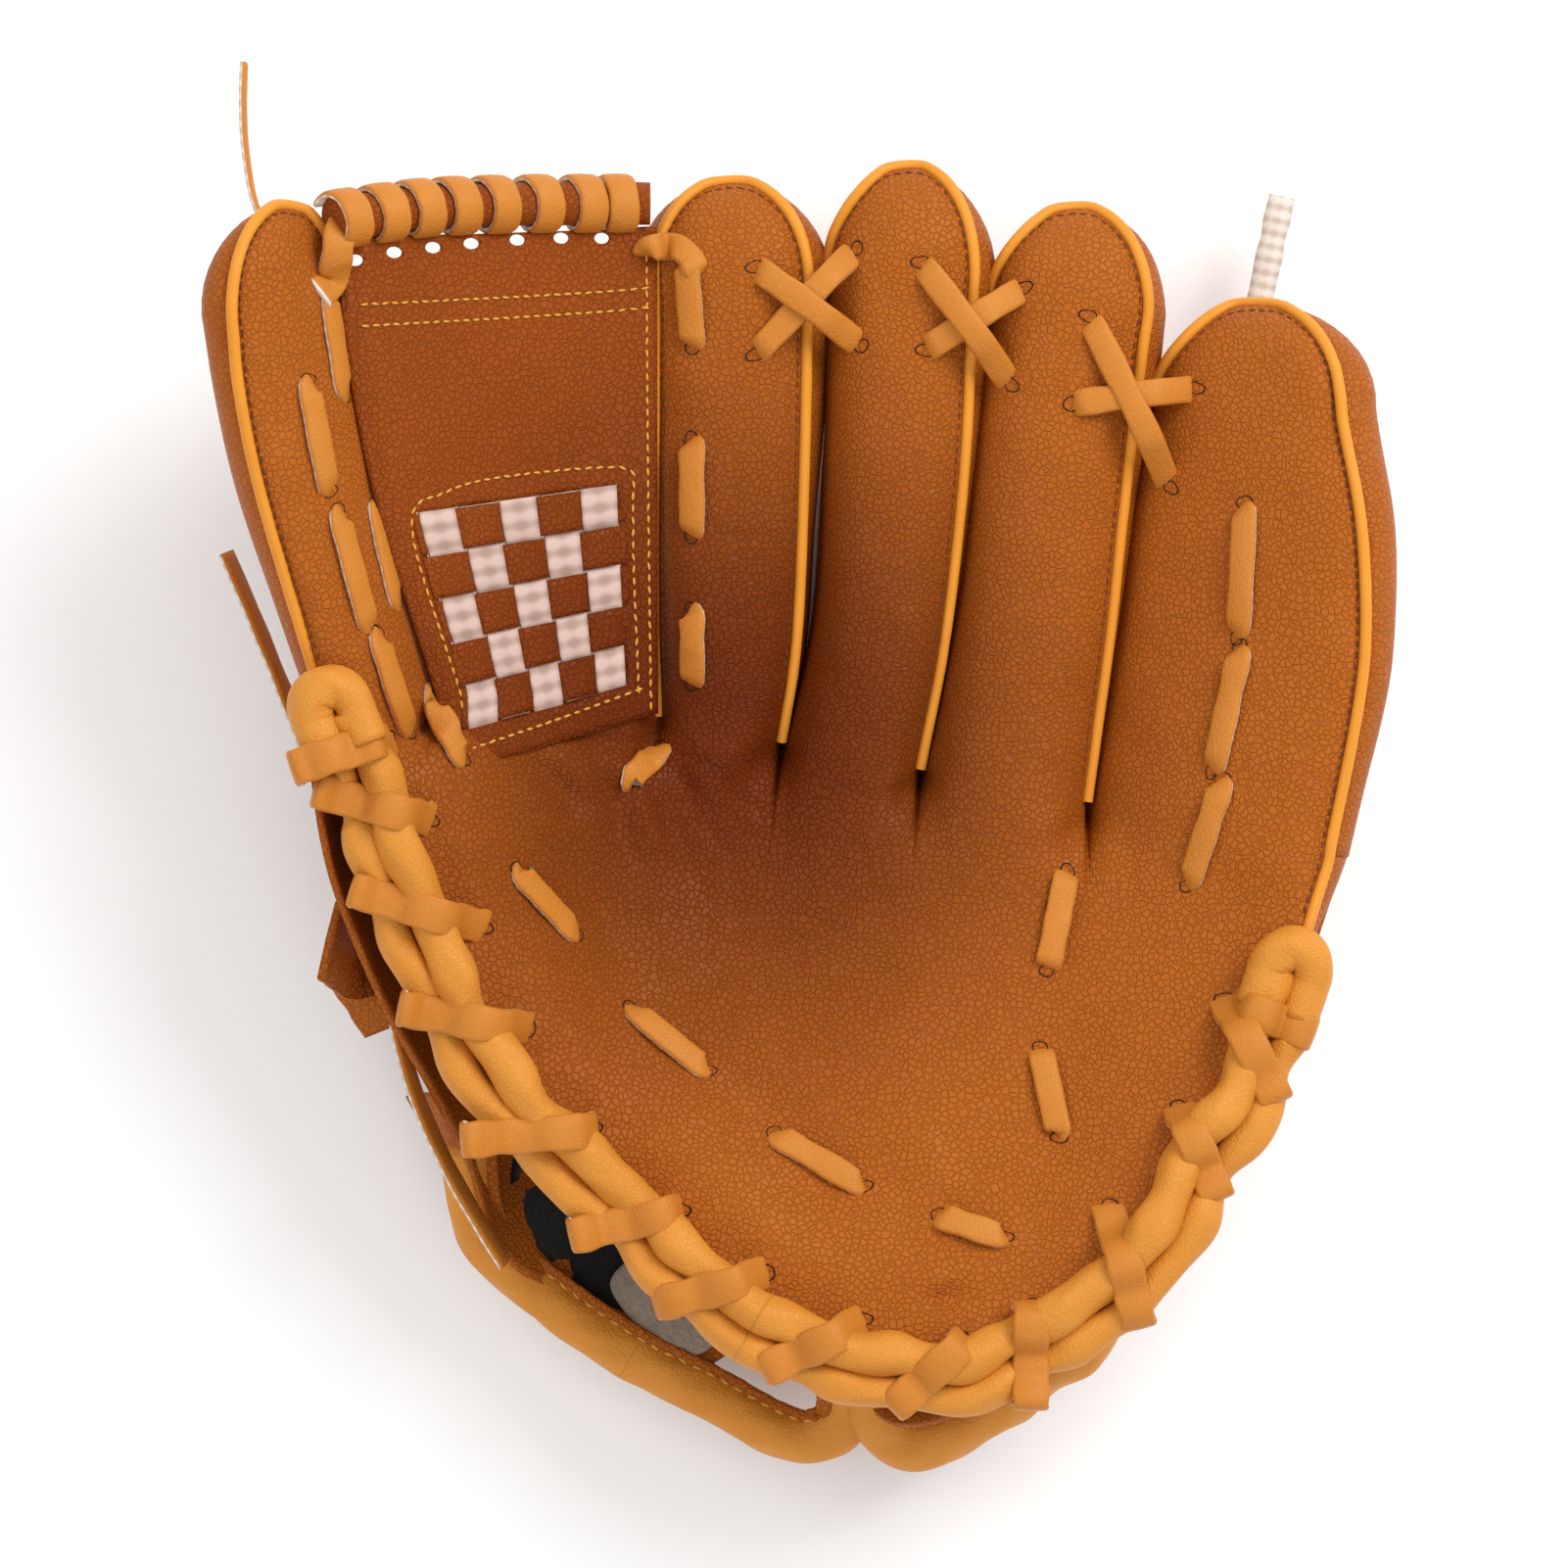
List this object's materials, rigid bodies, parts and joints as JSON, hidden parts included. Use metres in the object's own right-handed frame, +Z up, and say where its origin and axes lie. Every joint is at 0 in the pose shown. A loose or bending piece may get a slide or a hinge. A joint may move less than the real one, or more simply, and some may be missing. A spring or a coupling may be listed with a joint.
{
  "type": "baseball fielding glove",
  "caption": "Left-hand fielder's baseball glove, lying open on its back: padded palm, finger stalls, woven web, laced heel binding and a strap tab.",
  "frame": {"origin": "centre of the glove's bounding box in plan, on the surface that its back lies on, free lace ends left out", "axes": "+Z up out of the pocket, +Y towards the fingertips, +X from the thumb to the little finger"},
  "size_m": [0.2724, 0.3243, 0.117],
  "materials": {
    "leather": "pebbled synthetic leather, satin, tan brown",
    "piping": "smooth corded edge piping, light orange tan",
    "binding": "soft puckered rolled binding, light orange tan",
    "lace": "flat cloth-backed lacing, satin with pale cut edges",
    "woven_tape": "ribbed woven tape, pinkish beige",
    "foam": "hidden soft foam padding",
    "fleece": "short pile lining",
    "hook_tape": "black hook-and-loop tape"
  },
  "bodies": {
    "palm": {"cross_lace_index_middle": "lace", "cross_lace_middle_ring": "lace", "cross_lace_ring_little": "lace", "fleece_lining": "fleece", "heel_binding_center": "binding", "heel_lace_center": "lace", "index_back": "leather", "index_front": "leather", "index_lace": "lace", "index_piping": "piping", "lace_tail_heel": "lace", "middle_back": "leather", "middle_front": "leather", "middle_piping": "piping", "palm_back": "leather", "palm_lace": "lace", "palm_leather": "leather", "palm_lining": "fleece", "palm_padding": "foam", "ring_back": "leather", "ring_front": "leather", "ring_piping": "piping", "wrist_roll_left": "binding", "wrist_roll_right": "binding"},
    "thumb_side": {"heel_binding_thumb": "binding", "heel_lace_thumb": "lace", "lace_tail_thumb_side": "lace", "lace_tail_thumb_tip": "lace", "lace_tail_wrist": "lace", "thumb_back": "leather", "thumb_front": "leather", "thumb_heel_back": "leather", "thumb_heel_leather": "leather", "thumb_heel_padding": "foam", "thumb_lace": "lace", "thumb_piping": "piping", "web_panel": "leather", "web_tape_1": "woven_tape", "web_tape_2": "woven_tape", "web_tape_3": "woven_tape", "web_tape_4": "woven_tape", "web_tape_5": "woven_tape", "web_top_bar": "leather", "web_top_lace": "lace", "wrist_roll_thumb": "binding", "wrist_strap_band": "leather"},
    "little_side": {"heel_binding_little": "binding", "heel_lace_little": "lace", "lace_tail_little": "lace", "little_back": "leather", "little_front": "leather", "little_heel_back": "leather", "little_heel_leather": "leather", "little_heel_padding": "foam", "little_lace": "lace", "little_piping": "piping"},
    "strap_tab": {"hook_patch": "hook_tape", "wrist_strap_tab": "leather"}
  },
  "joints": [
    {"name": "thumb_fold", "type": "hinge", "parent": "palm", "child": "thumb_side", "pos_m": [-0.037, 0.02, 0.062], "axis": [-0.0118, 0.9999, 0], "range_deg": [0, 35], "stiffness_Nm_per_rad": 2},
    {"name": "little_finger_fold", "type": "hinge", "parent": "palm", "child": "little_side", "pos_m": [0.0676, 0.02, 0.058], "axis": [-0.1657, -0.9862, 0], "range_deg": [0, 30], "stiffness_Nm_per_rad": 2, "deforming": ["cross_lace_ring_little"]},
    {"name": "strap_tab_peel", "type": "hinge", "parent": "thumb_side", "child": "strap_tab", "pos_m": [-0.0885, -0.051, 0.027], "axis": [-0.583, -0.7015, 0.4099], "range_deg": [0, 60], "stiffness_Nm_per_rad": 0.05}
  ]
}
